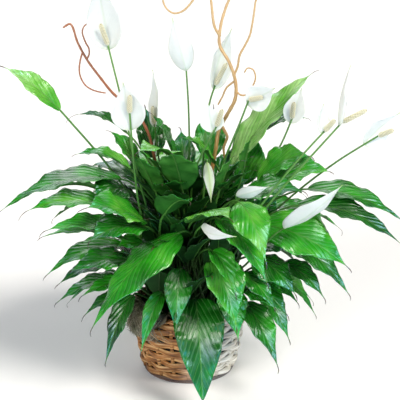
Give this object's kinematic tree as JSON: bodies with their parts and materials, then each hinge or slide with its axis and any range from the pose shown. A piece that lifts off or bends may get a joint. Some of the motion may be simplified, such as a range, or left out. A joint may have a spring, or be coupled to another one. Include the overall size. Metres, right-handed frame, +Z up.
{
  "type": "potted peace lily",
  "caption": "Flowering peace lily: arching glossy leaves and white spathes on tall stems, in a nursery pot inside a round woven basket with curly willow and moss.",
  "frame": {"origin": "centre of the basket's flat underside", "axes": "+Z up along the basket; -Y towards the front, where the lowest leaf hangs over the basket; +X to the right seen from the front"},
  "size_m": [0.724, 0.5432, 0.7542],
  "materials": {
    "leaf": "satin",
    "spathe": "satin",
    "spadix": "matte",
    "red_willow": "satin",
    "honey_willow": "satin",
    "wicker": "satin",
    "liner_plastic": "matte",
    "pot_plastic": "matte",
    "soil": "matte",
    "moss": "matte"
  },
  "bodies": {
    "root": {"basket": "wicker", "basket_liner": "liner_plastic", "nursery_pot": "pot_plastic", "soil": "soil", "moss": "moss", "willow_left": "red_willow", "willow_centre": "honey_willow", "shoot_01": "leaf", "shoot_02": "leaf", "shoot_03": "leaf", "shoot_04": "leaf", "shoot_05": "leaf", "shoot_06": "leaf", "shoot_07": "leaf", "shoot_08": "leaf", "shoot_09": "leaf", "spathe_13": "spathe", "spathe_14": "spathe", "shoot_10": "leaf", "spathe_10": "spathe", "spadix_10": "spadix", "spathe_11": "spathe", "spadix_11": "spadix", "shoot_11": "leaf", "spathe_09": "spathe", "spadix_09": "spadix", "shoot_12": "leaf", "shoot_13": "leaf", "shoot_14": "leaf", "shoot_15": "leaf", "shoot_16": "leaf", "spathe_02": "spathe", "spadix_02": "spadix", "shoot_17": "leaf", "spathe_06": "spathe", "spathe_07": "spathe", "spadix_07": "spadix", "spathe_15": "spathe", "shoot_18": "leaf", "spathe_12": "spathe", "spadix_12": "spadix", "shoot_19": "leaf", "spathe_05": "spathe", "spadix_05": "spadix", "spathe_08": "spathe", "spadix_08": "spadix", "shoot_20": "leaf", "spathe_03": "spathe", "spadix_03": "spadix", "spathe_04": "spathe", "shoot_21": "leaf", "spathe_01": "spathe", "spadix_01": "spadix", "shoot_22": "leaf"}
  },
  "joints": []
}
